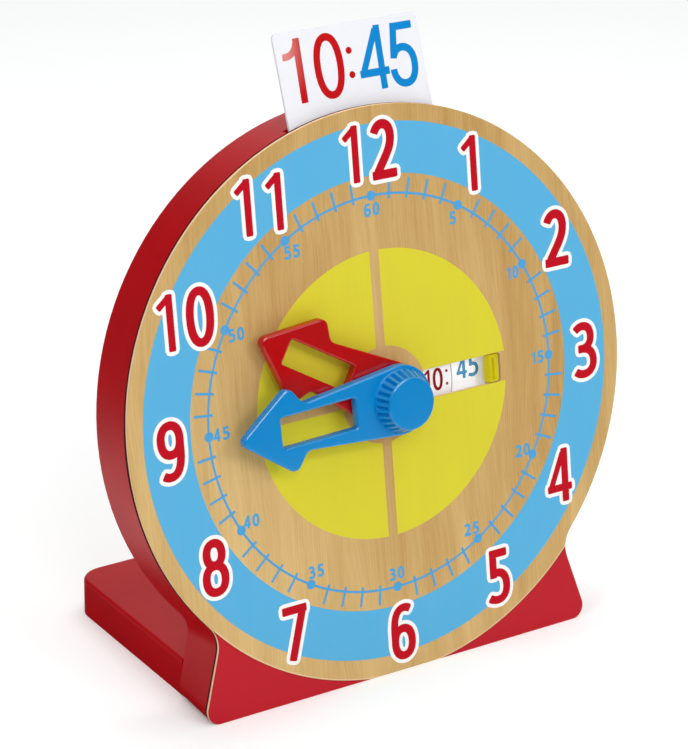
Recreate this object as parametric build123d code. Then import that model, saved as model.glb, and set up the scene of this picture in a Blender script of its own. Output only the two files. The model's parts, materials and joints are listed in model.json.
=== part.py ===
from build123d import *
import os
from math import acos, cos, hypot, pi, radians, sin, tan

# Geared teaching clock: a wooden dial on a hollow case with a flat foot behind it, two coloured hands, a
# 12 to 1 gear train, two printed discs that show the time in a window, a shutter for that window and a
# loose time card in a slot on top. Units are millimetres.
#
# Face frame: u to the right, v up the dial and n out of the dial, from the dial centre on its front face.
# Every piece is drawn in the face frame and then set in the row frame by place().
# Row frame: +X right, +Y towards the back, +Z up, origin in the middle of the footprint on the table.

# ---- dial and case ---------------------------------------------------------------------------------------
DIAL_R = 117.5          # radius of the round dial and of the case behind it
FACE_T = 2.5            # face plate thickness
CASE_DEPTH = 23.5       # case behind the face plate
LEAN = 9.0              # the dial leans back from upright by this angle
SKIRT_BELOW = 0.7       # face left under the round dial, down to the table
BASE_HALF_W = 94.6      # half width of the flared base at the table
FLARE = 16.9            # angle of the base's sides from upright
WAIST_R = 12.0          # fillet where the round dial runs into the base
TOE_R = 5.6             # rounding of the base's lower corners
FACE_EDGE_R = 0.4       # eased front edge of the face plate
CASE_EDGE_R = 1.5       # rounded rear edge of the case
CAVITY_GAP = 9.0        # case wall to the tip of the largest wheel
REBATE_W = 8.0          # ledge that the back cover lies on
COVER_T = 2.8           # back cover thickness
COVER_INSET = 0.2       # back cover below the rear face
COVER_GAP = 0.3         # back cover to the rebate's wall
SCREW_COUNT = 6         # back cover screws
SCREW_R = 1.5           # their shank radius
SCREW_HEAD_R = 2.9      # their countersunk head radius
SCREW_L = 11.0          # their length
SCREW_SLOT_W = 0.7      # cross recess width
SCREW_SLOT_D = 0.9      # cross recess depth
SNUG = 0.05             # radial room of a screw, dowel or glued pin in its hole

# ---- foot ------------------------------------------------------------------------------------------------
FOOT_HALF_W = 88.6      # half width of the foot board
FOOT_L = 93.6           # foot board behind the case, along the table
FOOT_T = 16.2           # foot board thickness
FOOT_CORNER_R = 11.0    # rear corners of the foot board
FOOT_EDGE_R = 1.5       # its rounded upper edge
DOWEL_R = 4.0           # glued dowels between the case and the foot board
DOWEL_L = 30.0
DOWEL_SPREAD = 60.0     # outer dowels from the middle
DOWEL_IN_CASE = 12.0    # length of a dowel inside the case

# ---- running fits and axial gaps -------------------------------------------------------------------------
RUN = 0.08              # radial clearance of every running fit
LAYER_GAP = 0.15        # axial gap between layers that turn past each other
DISC_GAP = 0.2          # hour disc behind the face plate

# ---- arbors ----------------------------------------------------------------------------------------------
SHAFT_R = 3.0           # minute shaft
SHAFT_NOSE_R = 2.5      # its front end, in the minute hand and the knob
SHAFT_FLAT = 0.6        # depth of the flat on that end
SLEEVE_WALL = 1.5       # wheel sleeve that carries the hour wheel
TUBE_WALL = 1.7         # hour tube that carries the hour hand and the hour disc
BUSH_WALL = 1.6         # bushes in the face plate and the back cover
BUSH_FLANGE_W = 2.4
BUSH_FLANGE_T = 0.8
WASHER_T = 0.5
CLIP_T = 0.6
CLIP_W = 2.6            # width of a retaining clip's ring
CLIP_GRIP = 0.6         # depth of a clip in its groove
CLIP_MOUTH = 50.0       # opening of a retaining clip, in degrees
WAVE_T = 0.3            # sheet of the wavy clutch washer
WAVE_LIFT = 0.5         # its height over the sheet
WAVE_COUNT = 3
WAVE_POINTS = 8         # points of the rim's curve on each wave
STUD_R = 2.5            # stud of the intermediate gear
STUD_FLANGE_W = 2.0
STUD_IN_FACE = 1.5      # stud set into the back of the face plate

# ---- gear train: 20 teeth drive 60, and 16 on the same gear drive 64, so 12 to 1 -------------------------
MODULE = 1.0
PINION_TEETH = 20
MID_WHEEL_TEETH = 60
MID_PINION_TEETH = 16
HOUR_TEETH = 64
PRESSURE = radians(20)
ADDENDUM = 0.85         # in modules
DEDENDUM = 1.25
BACKLASH = 0.12         # thinning of each tooth at the pitch circle
GEAR_T = 1.2

# ---- printed discs ---------------------------------------------------------------------------------------
HOUR_DISC_R = 35.0
MINUTE_DISC_R = 58.5
HOUR_DISC_T = 0.6
MINUTE_DISC_T = 0.8
HUB_FLANGE_R = 11.0     # hub behind the minute disc
HUB_FLANGE_T = 1.2
HUB_BOSS_WALL = 3.5
HUB_BOSS_L = 6.0
GRUB_R = 1.5            # grub screw in that hub
GRUB_SOCKET_R = 0.75
GRUB_SOCKET_D = 1.6

# ---- hands and knob --------------------------------------------------------------------------------------
HAND_T = 4.0
HAND_HUB_R = 14.4
HAND_EDGE_R = 0.9
HAND_UNDER_EDGE_R = 0.4
TIP_R = 2.8
BARB_R = 3.4
NECK_R = 4.1
SLOT_CORNER_R = 1.0
HOUR_HAND_N = 4.0       # underside of the hour hand above the face
MINUTE_HAND_N = 8.6     # underside of the minute hand above the face
HOUR_HAND_ANGLE = 301.0     # clockwise from 12
MINUTE_HAND_ANGLE = 268.2
# tip, barb, neck: distance along the hand, and half width of barb and neck
HOUR_SHAPE = {"tip": 70.5, "barb": (45.0, 18.5), "neck": (38.7, 10.3), "slot": (23.6, 56.4, 5.3)}
MINUTE_SHAPE = {"tip": 75.0, "barb": (50.9, 18.0), "neck": (45.0, 9.7), "slot": (21.2, 56.0, 6.3)}
HAND_BOSS_WALL = 2.6    # boss under each hand's hub
CLUTCH_POCKET_WALL = 1.6    # hour hand hub around its clutch washer
CLUTCH_FLOOR_N = 5.4    # floor of that pocket
KNOB_H = 7.5
KNOB_BASE_R = 13.2
KNOB_TOP_R = 10.5
KNOB_TOP_EDGE_R = 0.8
KNOB_RIBS = 26
KNOB_RIB_D = 1.25       # depth of the grooves between the ribs
KNOB_GROOVE_SHARE = 0.62    # width of a groove in its share of the rim
KNOB_RIB_START = 0.8    # ribs start this far over the knob's foot
KNOB_RIB_END = 0.95     # ribs end this far under the top
KNOB_CAP = 2.0          # material over the shaft's end

# ---- time window and shutter -----------------------------------------------------------------------------
WINDOW_U = (19.0, 57.0)     # ends of the slot in the dial
WINDOW_HALF_H = 6.2
WINDOW_CORNER_R = 1.2
SHUTTER_T = 0.8
SHUTTER_LAP = 2.0       # strip past the window's end when it is shut
SHUTTER_SIDE_LAP = 1.8  # strip above and below the window
SHUTTER_PLAY = 0.2      # strip in its groove, on each side
TAB_W = 6.3
TAB_PLAY = 0.4          # finger tab to the window's edges
TAB_END_PLAY = 0.9      # finger tab to the window's outer end, shutter open
TAB_PROUD = 0.3         # finger tab over the face
TAB_OVERHANG = 1.0      # finger tab past the strip's end
TAB_SLOPE_W = 1.8       # slope down the tab's left side
TAB_RIDGE = 0.9         # ridge on the tab
TAB_RIDGE_W = 2.2
TAB_RIDGE_SHIFT = 1.3   # ridge right of the tab's middle
TAB_RIDGE_END = 1.25    # tab above and below the ridge
TAB_EDGE_R = 0.35
GUIDE_T = 0.8           # keeper plate behind the strip
GUIDE_HALF_H = 13.0
GUIDE_DISC_GAP = 2.0    # keeper plate to the hour disc
GUIDE_CASE_GAP = 3.0    # keeper plate to the case wall

# ---- time card -------------------------------------------------------------------------------------------
CARD_W = 67.0
CARD_H = 42.0
CARD_T = 1.2
CARD_LEAN = 12.6        # the card leans back from the dial by this angle
CARD_SHIFT = 0.7        # the card stands this far right of the slot's middle
CARD_CORNER_R = 2.0
CARD_PLAY = 0.15
CARD_SLOT_HALF_W = 34.8
CARD_SLOT_FLOOR = 9.5   # slot floor below the top of the dial

# ---- places worked out from the values above -------------------------------------------------------------
lean = radians(LEAN)
face_foot = DIAL_R + SKIRT_BELOW                # face centre down to the table, along the face
dial_height = face_foot * cos(lean)
back_n = -(FACE_T + CASE_DEPTH)                 # rear face of the case
front_toe_y = -face_foot * sin(lean)            # front lower edge, from under the dial centre
rear_toe_y = front_toe_y - back_n / cos(lean)   # rear lower edge of the case
foot_rear_y = rear_toe_y + FOOT_L
footprint_mid_y = (front_toe_y + foot_rear_y) / 2

mid_u = -MODULE * (PINION_TEETH + MID_WHEEL_TEETH) / 2      # stud of the intermediate gear
mid_reach = -mid_u + MODULE * (MID_WHEEL_TEETH / 2 + ADDENDUM)
cavity_r = mid_reach + CAVITY_GAP
rebate_r = cavity_r + REBATE_W

sleeve_r = SHAFT_R + RUN + SLEEVE_WALL
tube_r = sleeve_r + RUN + TUBE_WALL
bush_r = tube_r + RUN + BUSH_WALL

hour_disc_n = -(FACE_T + DISC_GAP)              # front faces of the layers behind the face plate
hour_wheel_n = hour_disc_n - HOUR_DISC_T - LAYER_GAP
mid_wheel_n = hour_wheel_n - GEAR_T - LAYER_GAP
mid_back_n = mid_wheel_n - GEAR_T
minute_disc_n = mid_back_n - 2 * LAYER_GAP
hub_n = minute_disc_n - MINUTE_DISC_T

cover_n = back_n + COVER_INSET + COVER_T        # front face of the back cover
rear_bush_n = cover_n + BUSH_FLANGE_T
minute_top_n = MINUTE_HAND_N + HAND_T
knob_top_n = minute_top_n + KNOB_H
boss_n = BUSH_FLANGE_T + WASHER_T + LAYER_GAP   # underside of the hour hand's boss
clip_n = CLUTCH_FLOOR_N + WAVE_T + WAVE_LIFT + LAYER_GAP
sleeve_top_n = clip_n + 2 * CLIP_T
shoulder_n = sleeve_top_n + LAYER_GAP           # shoulder of the minute shaft, under the minute hand
screw_circle_r = rebate_r - REBATE_W / 2

travel = WINDOW_U[1] - WINDOW_U[0] - TAB_PLAY - TAB_END_PLAY - TAB_W
tab_u = WINDOW_U[1] - TAB_END_PLAY - TAB_W          # left side of the finger tab, shutter open
strip_u = (tab_u + TAB_OVERHANG, WINDOW_U[1] + SHUTTER_LAP + travel)
strip_half_h = WINDOW_HALF_H + SHUTTER_SIDE_LAP
groove_d = SHUTTER_T + SHUTTER_PLAY

cutter_side = 8 * DIAL_R                        # block that cuts a piece at a plane

DIAL_AXIS = Axis((0, -footprint_mid_y, dial_height), (0, -cos(lean), sin(lean)))


# ---- helpers ---------------------------------------------------------------------------------------------
def place(shape):
    """Set a shape drawn in the face frame into the row frame."""
    return Location(Plane(origin=DIAL_AXIS.position, x_dir=(1, 0, 0), z_dir=DIAL_AXIS.direction)) * shape


def ease(solid, radius, end):
    """Round the edges of the face that lies furthest along n (end -1) or furthest back (end 0)."""
    return fillet(solid.faces().sort_by(DIAL_AXIS)[end].edges(), radius)


def slab(sketch, low_n, high_n):
    """Extrude a flat sketch between two levels of n."""
    return Pos(0, 0, low_n) * extrude(sketch, high_n - low_n)


def ring(outer_r, inner_r, low_n, high_n):
    """Flat ring or tube about the dial's axis."""
    return slab(Circle(outer_r) - Circle(inner_r), low_n, high_n)


def above_table(solid):
    """Cut away what a solid in the row frame has under the table."""
    return solid - Pos(0, 0, -cutter_side / 2) * Box(cutter_side, cutter_side, cutter_side)


def write(node, *solids):
    """Write one sub-part as a STEP file: one solid, or several alike."""
    shape = solids[0] if len(solids) == 1 else Compound(children=list(solids))
    export_step(shape, f"parts/{node}.step")


def polar(radius, angle):
    """Point at a radius and a clockwise angle from 12, in degrees."""
    return radius * sin(radians(angle)), radius * cos(radians(angle))


def case_outline():
    """Round dial that runs into a flared base."""
    slope = tan(radians(FLARE))
    low_v, high_v = -2 * face_foot, -DIAL_R / 3
    edge = [(BASE_HALF_W + slope * (-face_foot - v), v) for v in (low_v, high_v)]
    mirrored = [(-u, v) for u, v in reversed(edge)]
    outline = Circle(DIAL_R) + Polygon(*edge, *mirrored, align=None)
    waist = [v for v in outline.vertices() if abs(hypot(v.X, v.Y) - DIAL_R) < 0.01 and v.Y < high_v]
    return fillet(waist, WAIST_R)


def gear(teeth, low_n, high_n, bore_r, tooth_at_zero=True):
    """Involute spur gear about the origin, with a tooth or a gap on the u axis."""
    pitch_r = MODULE * teeth / 2
    base_r = pitch_r * cos(PRESSURE)
    tip_r = pitch_r + ADDENDUM * MODULE
    root_r = pitch_r - DEDENDUM * MODULE
    half_pitch = pi / (2 * teeth) - BACKLASH / (2 * pitch_r)

    def involute(angle):
        return tan(angle) - angle

    def half_width(radius):
        return half_pitch + involute(PRESSURE) - involute(acos(base_r / max(radius, base_r)))

    def at(radius, angle):
        return radius * cos(angle), radius * sin(angle)

    start_r = max(root_r, base_r)
    middle_r = (start_r + tip_r) / 2
    edges = []
    for tooth in range(teeth):
        mid = (tooth + (0 if tooth_at_zero else 0.5)) * 2 * pi / teeth
        following = mid + 2 * pi / teeth
        rising = [at(r, mid - half_width(r)) for r in (start_r, middle_r, tip_r)]
        falling = [at(r, mid + half_width(r)) for r in (tip_r, middle_r, start_r)]
        foot = at(root_r, mid + half_width(start_r))
        next_foot = at(root_r, following - half_width(start_r))
        valley = at(root_r, mid + pi / teeth)
        if root_r < base_r:
            edges.append(Line(at(root_r, mid - half_width(start_r)), rising[0]))
        edges.append(ThreePointArc(*rising))
        edges.append(ThreePointArc(rising[2], at(tip_r, mid), falling[0]))
        edges.append(ThreePointArc(*falling))
        if root_r < base_r:
            edges.append(Line(falling[2], foot))
        edges.append(ThreePointArc(foot, valley, next_foot))
    return slab(Face(Wire(edges)) - Circle(bore_r), low_n, high_n)


def retaining_clip(groove_r, low_n):
    """Sprung clip with an open mouth, seated in a groove."""
    mouth = CLIP_W + 2 * groove_r
    wedge = Polygon((0, 0), polar(2 * mouth, -CLIP_MOUTH / 2), polar(2 * mouth, CLIP_MOUTH / 2), align=None)
    return slab(Circle(groove_r + CLIP_W) - Circle(groove_r) - wedge, low_n, low_n + CLIP_T)


def arrow_hand(shape):
    """Flat outline of a hand that points along +u, with its hub, barbs and long slot."""
    tip, (barb_u, barb_v), (neck_u, neck_v) = shape["tip"], shape["barb"], shape["neck"]
    reach = hypot(neck_u, neck_v)
    tangent_turn = acos(HAND_HUB_R / reach) + acos(neck_u / reach)
    hub_u, hub_v = HAND_HUB_R * cos(tangent_turn), HAND_HUB_R * sin(tangent_turn)
    upper = [(tip, 0), (barb_u, barb_v), (neck_u, neck_v), (hub_u, hub_v)]
    lower = [(u, -v) for u, v in reversed(upper[1:])]
    outline = Circle(HAND_HUB_R) + Polygon(*upper, *lower, align=None)

    def corners(u, v):
        return [c for c in outline.vertices() if hypot(c.X - u, abs(c.Y) - v) < 0.01]

    outline = fillet(corners(neck_u, neck_v), NECK_R)
    outline = fillet(corners(barb_u, barb_v), BARB_R)
    outline = fillet(corners(tip, 0), TIP_R)
    slot_start, slot_end, slot_half = shape["slot"]
    slot = RectangleRounded(slot_end - slot_start, 2 * slot_half, SLOT_CORNER_R)
    return outline - Pos((slot_start + slot_end) / 2, 0) * slot


def hand_plate(shape, low_n):
    """Solid plate of a hand with eased edges, before its hub is bored."""
    plate = slab(arrow_hand(shape), low_n, low_n + HAND_T)
    plate = fillet(plate.faces().sort_by(Axis.Z)[-1].edges(), HAND_EDGE_R)
    return fillet(plate.faces().sort_by(Axis.Z)[0].edges(), HAND_UNDER_EDGE_R)


def point_to(solid, angle):
    """Turn a hand drawn along +u to a clockwise angle from 12."""
    return Rot(0, 0, 90 - angle) * solid


def nose_section(clearance=0.0):
    """Round section with a flat, of the minute shaft's front end."""
    radius = SHAFT_NOSE_R + clearance
    flat_v = SHAFT_NOSE_R - SHAFT_FLAT + clearance
    return Circle(radius) - Pos(0, flat_v + radius) * Rectangle(4 * radius, 2 * radius)


# ---- case ------------------------------------------------------------------------------------------------
def build_face_plate():
    plate = round_toes(above_table(place(slab(case_outline(), -FACE_T, 0))))
    plate = ease(plate, FACE_EDGE_R, -1)
    window = RectangleRounded(WINDOW_U[1] - WINDOW_U[0], 2 * WINDOW_HALF_H, WINDOW_CORNER_R)
    cuts = slab(Pos(sum(WINDOW_U) / 2, 0) * window, -FACE_T, 0)
    groove_u = (strip_u[0] - travel - SHUTTER_PLAY, strip_u[1] + SHUTTER_PLAY)
    groove = Rectangle(groove_u[1] - groove_u[0], 2 * (strip_half_h + SHUTTER_PLAY))
    cuts += slab(Pos(sum(groove_u) / 2, 0) * groove, -FACE_T, -FACE_T + groove_d)
    cuts += slab(Circle(bush_r), -FACE_T, 0)
    cuts += slab(Pos(mid_u, 0) * Circle(STUD_R), -FACE_T, -FACE_T + STUD_IN_FACE)
    return plate - place(cuts)


def round_toes(solid):
    """Round the two lower corners of a piece that stands on the table."""
    return fillet([edge for edge in solid.edges() if is_on_table(edge)], TOE_R)


def is_on_table(edge):
    """Whether an edge runs from front to back along the table."""
    ends = [edge.position_at(0), edge.position_at(1)]
    flat = all(abs(end.Z) < 0.01 for end in ends)
    return flat and abs(ends[0].Y - ends[1].Y) > abs(ends[0].X - ends[1].X)


def card_slot():
    """Slot in the case's top, just behind the face plate, that the leaning card drops into."""
    lean_in_slot = CARD_SLOT_FLOOR * tan(radians(CARD_LEAN)) + CARD_T / cos(radians(CARD_LEAN))
    width = lean_in_slot + 2 * CARD_PLAY
    floor_v = DIAL_R - CARD_SLOT_FLOOR
    opening = Rectangle(2 * CARD_SLOT_HALF_W, 2 * CARD_SLOT_FLOOR)
    return slab(Pos(0, floor_v + CARD_SLOT_FLOOR) * opening, -FACE_T - width, -FACE_T)


def cover_screw_places():
    return [polar(screw_circle_r, 360 / SCREW_COUNT * (k + 0.5)) for k in range(SCREW_COUNT)]


def dowel(radius, extra=0.0):
    """Level dowel between the case and the foot board, in the row frame."""
    z = FOOT_T / 2
    y = rear_toe_y + z * tan(lean) - footprint_mid_y - DOWEL_IN_CASE - extra
    start = Plane(origin=(0, y, z), x_dir=(1, 0, 0), z_dir=(0, 1, 0))
    return extrude(start * Circle(radius), DOWEL_L + 2 * extra)


def dowels(radius, extra=0.0):
    return [Pos(x, 0, 0) * dowel(radius, extra) for x in (-DOWEL_SPREAD, 0, DOWEL_SPREAD)]


def build_case():
    shell = round_toes(above_table(place(slab(case_outline(), back_n, -FACE_T))))
    shell = ease(shell, CASE_EDGE_R, 0)
    cuts = slab(Circle(cavity_r), back_n, -FACE_T) + slab(Circle(rebate_r), back_n, cover_n) + card_slot()
    hole_end_n = back_n + COVER_INSET + SCREW_L + SNUG
    for u, v in cover_screw_places():
        cuts += slab(Pos(u, v) * Circle(SCREW_R + SNUG), cover_n - COVER_T, hole_end_n)
    shell -= place(cuts)
    for hole in dowels(DOWEL_R + SNUG, SNUG):
        shell -= hole
    return shell


def build_back_cover():
    low_n = cover_n - COVER_T
    cover = slab(Circle(rebate_r - COVER_GAP), low_n, cover_n)
    cover = chamfer(cover.faces().sort_by(Axis.Z)[0].edges(), COVER_GAP)
    cover -= slab(Circle(SHAFT_R + RUN + BUSH_WALL), low_n, cover_n)
    for u, v in cover_screw_places():
        cover -= Pos(u, v, 0) * screw_body(low_n, SNUG)
    return place(cover)


def screw_body(head_n, clearance=0.0):
    """Countersunk screw that points along +n from its flat head."""
    head_h = SCREW_HEAD_R - SCREW_R
    head = Pos(0, 0, head_n + head_h / 2) * Cone(SCREW_HEAD_R + clearance, SCREW_R + clearance, head_h)
    shank = slab(Circle(SCREW_R + clearance), head_n + head_h, head_n + SCREW_L)
    return head + shank


def build_cover_screws():
    head_n = cover_n - COVER_T
    blade = Box(2 * SCREW_R, SCREW_SLOT_W, 2 * SCREW_SLOT_D)
    cross = Pos(0, 0, head_n) * (blade + Rot(0, 0, 90) * blade)
    screw = screw_body(head_n) - cross
    return [place(Pos(u, v, 0) * screw) for u, v in cover_screw_places()]


def build_foot_board():
    """Foot board whose front end is cut to the slope of the case's rear face."""
    start_y = rear_toe_y - footprint_mid_y
    board = Pos(0, start_y, FOOT_T / 2) * Box(2 * FOOT_HALF_W, 2 * FOOT_L, FOOT_T)
    upright = board.edges().filter_by(Axis.Z).group_by(Axis.Y)[-1]
    board = fillet(upright, FOOT_CORNER_R)
    board = fillet(board.faces().sort_by(Axis.Z)[-1].edges(), FOOT_EDGE_R)
    block = Pos(0, -cutter_side / 2, 0) * Box(cutter_side, cutter_side, cutter_side)
    board -= Pos(0, start_y, 0) * Rot(-LEAN, 0, 0) * block
    for hole in dowels(DOWEL_R + SNUG, SNUG):
        board -= hole
    return board


# ---- arbors and bushes -----------------------------------------------------------------------------------
def build_front_bush():
    barrel = ring(bush_r, tube_r + RUN, -FACE_T, 0)
    return place(barrel + ring(bush_r + BUSH_FLANGE_W, tube_r + RUN, 0, BUSH_FLANGE_T))


def build_rear_bush():
    barrel_r = SHAFT_R + RUN + BUSH_WALL
    barrel = ring(barrel_r, SHAFT_R + RUN, cover_n - COVER_T, cover_n)
    return place(barrel + ring(barrel_r + BUSH_FLANGE_W, SHAFT_R + RUN, cover_n, rear_bush_n))


def build_minute_shaft():
    end_n = cover_n - COVER_T + COVER_INSET
    shaft = slab(Circle(SHAFT_R), end_n, shoulder_n)
    shaft += slab(nose_section(), shoulder_n, knob_top_n - KNOB_CAP)
    groove = ring(2 * SHAFT_R, SHAFT_R - CLIP_GRIP, shaft_clip_n() - SNUG, shaft_clip_n() + CLIP_T + SNUG)
    return place(shaft - groove)


def shaft_clip_n():
    """Level of the clip that holds the shaft against the rear bush."""
    return rear_bush_n + WASHER_T + 2 * LAYER_GAP


def build_shaft_clip():
    return place(retaining_clip(SHAFT_R - CLIP_GRIP + SNUG, shaft_clip_n()))


def build_shaft_washer():
    low_n = rear_bush_n + LAYER_GAP
    return place(ring(SHAFT_R + RUN + BUSH_WALL + BUSH_FLANGE_W, SHAFT_R + RUN, low_n, low_n + WASHER_T))


def build_wheel_sleeve():
    sleeve = ring(sleeve_r, SHAFT_R + RUN, hour_wheel_n - GEAR_T, sleeve_top_n)
    groove = ring(2 * sleeve_r, sleeve_r - CLIP_GRIP, clip_n - SNUG, clip_n + CLIP_T + SNUG)
    return place(sleeve - groove)


def build_hour_tube():
    return place(ring(tube_r, sleeve_r + RUN, hour_disc_n - HOUR_DISC_T, CLUTCH_FLOOR_N))


def build_hand_washer():
    low_n = BUSH_FLANGE_T + LAYER_GAP / 2
    return place(ring(bush_r + BUSH_FLANGE_W, tube_r + RUN, low_n, low_n + WASHER_T))


def build_clutch_clip():
    return place(retaining_clip(sleeve_r - CLIP_GRIP + SNUG, clip_n))


def build_clutch_washer():
    """Wavy spring washer, pressed between the hour hand's hub and the clip."""
    inner_r, outer_r = sleeve_r + 2 * RUN, sleeve_r + CLIP_W
    middle_n = CLUTCH_FLOOR_N + (WAVE_T + WAVE_LIFT) / 2 + LAYER_GAP / 2

    def rim(radius):
        steps = WAVE_POINTS * WAVE_COUNT
        turns = [2 * pi * k / steps for k in range(steps)]
        return [(radius * cos(a), radius * sin(a), WAVE_LIFT / 2 * cos(WAVE_COUNT * a)) for a in turns]

    def raised(edge, h):
        return edge.moved(Pos(0, 0, h))

    half_t = WAVE_T / 2
    inner, outer = (Spline(*rim(r), periodic=True) for r in (inner_r, outer_r))
    sheets = [Face.make_surface_from_curves(raised(inner, h), raised(outer, h)) for h in (-half_t, half_t)]
    walls = [Face.make_surface_from_curves(raised(e, -half_t), raised(e, half_t)) for e in (inner, outer)]
    return place(Pos(0, 0, middle_n) * Solid(Shell(sheets + walls)))


# ---- gear train and discs --------------------------------------------------------------------------------
def build_minute_pinion():
    return place(gear(PINION_TEETH, minute_disc_n, mid_wheel_n, SHAFT_R))


def build_hour_wheel():
    return place(gear(HOUR_TEETH, hour_wheel_n - GEAR_T, hour_wheel_n, sleeve_r))


def build_intermediate_gear():
    """Wheel and pinion moulded as one piece that turns on the stud."""
    bore = STUD_R + RUN
    wheel = gear(MID_WHEEL_TEETH, mid_back_n, mid_wheel_n, bore, tooth_at_zero=False)
    pinion = gear(MID_PINION_TEETH, mid_wheel_n, hour_wheel_n, bore, tooth_at_zero=False)
    seat = slab(Circle(STUD_R + STUD_FLANGE_W + SNUG), mid_back_n, mid_back_n + WASHER_T + SNUG)
    return place(Pos(mid_u, 0, 0) * (wheel + pinion - seat))


def build_intermediate_stud():
    flange_n = hour_wheel_n + LAYER_GAP
    post = slab(Circle(STUD_R), mid_back_n, -FACE_T + STUD_IN_FACE)
    return place(Pos(mid_u, 0, 0) * (post + slab(Circle(STUD_R + STUD_FLANGE_W), flange_n, -FACE_T)))


def build_stud_cap():
    """Ring riveted on the stud's end, sunk in the wheel, that keeps the gear on."""
    cap = ring(STUD_R + STUD_FLANGE_W - SNUG, STUD_R, mid_back_n, mid_back_n + WASHER_T)
    return place(Pos(mid_u, 0, 0) * cap)


def build_hour_disc():
    return place(ring(HOUR_DISC_R, tube_r, hour_disc_n - HOUR_DISC_T, hour_disc_n))


def build_minute_disc():
    return place(ring(MINUTE_DISC_R, SHAFT_R, minute_disc_n - MINUTE_DISC_T, minute_disc_n))


def grub_axis(length, radius, start_r):
    """Radial cylinder in the minute disc's hub."""
    level = hub_n - HUB_FLANGE_T - HUB_BOSS_L / 2
    start = Plane(origin=(0, start_r, level), z_dir=(0, 1, 0))
    return extrude(start * Circle(radius), length)


def build_minute_hub():
    boss_r = SHAFT_R + HUB_BOSS_WALL
    hub = ring(HUB_FLANGE_R, SHAFT_R, hub_n - HUB_FLANGE_T, hub_n)
    hub += ring(boss_r, SHAFT_R, hub_n - HUB_FLANGE_T - HUB_BOSS_L, hub_n - HUB_FLANGE_T)
    return place(hub - grub_axis(boss_r, GRUB_R + SNUG, 0))


def build_grub_screw():
    start_r = SHAFT_R + SNUG
    screw = grub_axis(HUB_BOSS_WALL, GRUB_R, start_r)
    return place(screw - grub_axis(GRUB_SOCKET_D, GRUB_SOCKET_R, start_r + HUB_BOSS_WALL - GRUB_SOCKET_D))


# ---- hands and knob --------------------------------------------------------------------------------------
def build_hour_hand():
    hand = point_to(hand_plate(HOUR_SHAPE, HOUR_HAND_N), HOUR_HAND_ANGLE)
    hand += slab(Circle(tube_r + HAND_BOSS_WALL), boss_n, HOUR_HAND_N)
    hand -= slab(Circle(tube_r), boss_n, HOUR_HAND_N + HAND_T)
    hand -= slab(Circle(tube_r + CLUTCH_POCKET_WALL), CLUTCH_FLOOR_N, HOUR_HAND_N + HAND_T)
    return place(hand)


def build_minute_hand():
    hand = point_to(hand_plate(MINUTE_SHAPE, MINUTE_HAND_N), MINUTE_HAND_ANGLE)
    hand += slab(Circle(SHAFT_R + HAND_BOSS_WALL), shoulder_n, MINUTE_HAND_N)
    return place(hand - slab(nose_section(SNUG), shoulder_n, minute_top_n))


def build_knob():
    """Conical finger knob with fine ribs round its side."""
    half_angle = radians(360 / KNOB_RIBS / 2)
    body = loft(Sketch() + [Pos(0, 0, minute_top_n) * Circle(KNOB_BASE_R),
                            Pos(0, 0, knob_top_n) * Circle(KNOB_TOP_R)])
    body = fillet(body.faces().sort_by(Axis.Z)[-1].edges(), KNOB_TOP_EDGE_R)
    slope = (KNOB_BASE_R - KNOB_TOP_R) / KNOB_H

    def vee(level):
        radius = KNOB_BASE_R - slope * (level - minute_top_n)
        outer_half_w = 2 * KNOB_GROOVE_SHARE * radius * sin(half_angle)
        outer_r = radius + KNOB_RIB_D
        corners = [(radius - KNOB_RIB_D, 0), (outer_r, outer_half_w), (outer_r, -outer_half_w)]
        return Pos(0, 0, level) * Polygon(*corners, align=None)

    groove = loft(Sketch() + [vee(minute_top_n + KNOB_RIB_START), vee(knob_top_n - KNOB_RIB_END)])
    for rib in range(KNOB_RIBS):
        body -= Rot(0, 0, 360 / KNOB_RIBS * rib) * groove
    return place(body - slab(nose_section(SNUG), minute_top_n, knob_top_n - KNOB_CAP + SNUG))


# ---- shutter and card ------------------------------------------------------------------------------------
def build_shutter():
    """Flat strip in the face plate's groove, with a ridged finger tab in the window."""
    strip_top = -FACE_T + SHUTTER_PLAY / 2 + SHUTTER_T
    sheet = Pos(sum(strip_u) / 2, 0) * Rectangle(strip_u[1] - strip_u[0], 2 * strip_half_h)
    strip = slab(sheet, strip_top - SHUTTER_T, strip_top)
    tab_h = 2 * (WINDOW_HALF_H - TAB_PLAY)
    block = Pos(tab_u + TAB_W / 2, 0) * RectangleRounded(TAB_W, tab_h, WINDOW_CORNER_R)
    tab = slab(block, strip_top, TAB_PROUD)
    slope = Polygon((tab_u, strip_top), (tab_u + TAB_SLOPE_W, TAB_PROUD), (tab_u, TAB_PROUD), align=None)
    tab -= extrude(Plane(origin=(0, tab_h, 0), x_dir=(1, 0, 0), z_dir=(0, -1, 0)) * slope, 2 * tab_h)
    tab = fillet(tab.faces().sort_by(Axis.Z)[-1].edges(), TAB_EDGE_R)
    ridge = Box(TAB_RIDGE_W, tab_h - 2 * TAB_RIDGE_END, TAB_RIDGE)
    ridge = Pos(tab_u + TAB_W / 2 + TAB_RIDGE_SHIFT, 0, TAB_PROUD + TAB_RIDGE / 2) * ridge
    ridge = fillet(ridge.faces().sort_by(Axis.Z)[-1].edges(), TAB_EDGE_R)
    return place(strip + tab + ridge)


def build_shutter_guide():
    """Keeper plate behind the strip, cut out where the window looks at the discs."""
    start_u = HOUR_DISC_R + GUIDE_DISC_GAP
    end_u = cavity_r - GUIDE_CASE_GAP
    plate = Pos((start_u + end_u) / 2, 0) * Rectangle(end_u - start_u, 2 * GUIDE_HALF_H)
    view_u = WINDOW_U[1] + TAB_PLAY
    view = Pos(view_u - DIAL_R / 2, 0) * Rectangle(DIAL_R, 2 * (WINDOW_HALF_H + TAB_PLAY))
    return place(slab(plate - view, -FACE_T - GUIDE_T, -FACE_T))


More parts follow.
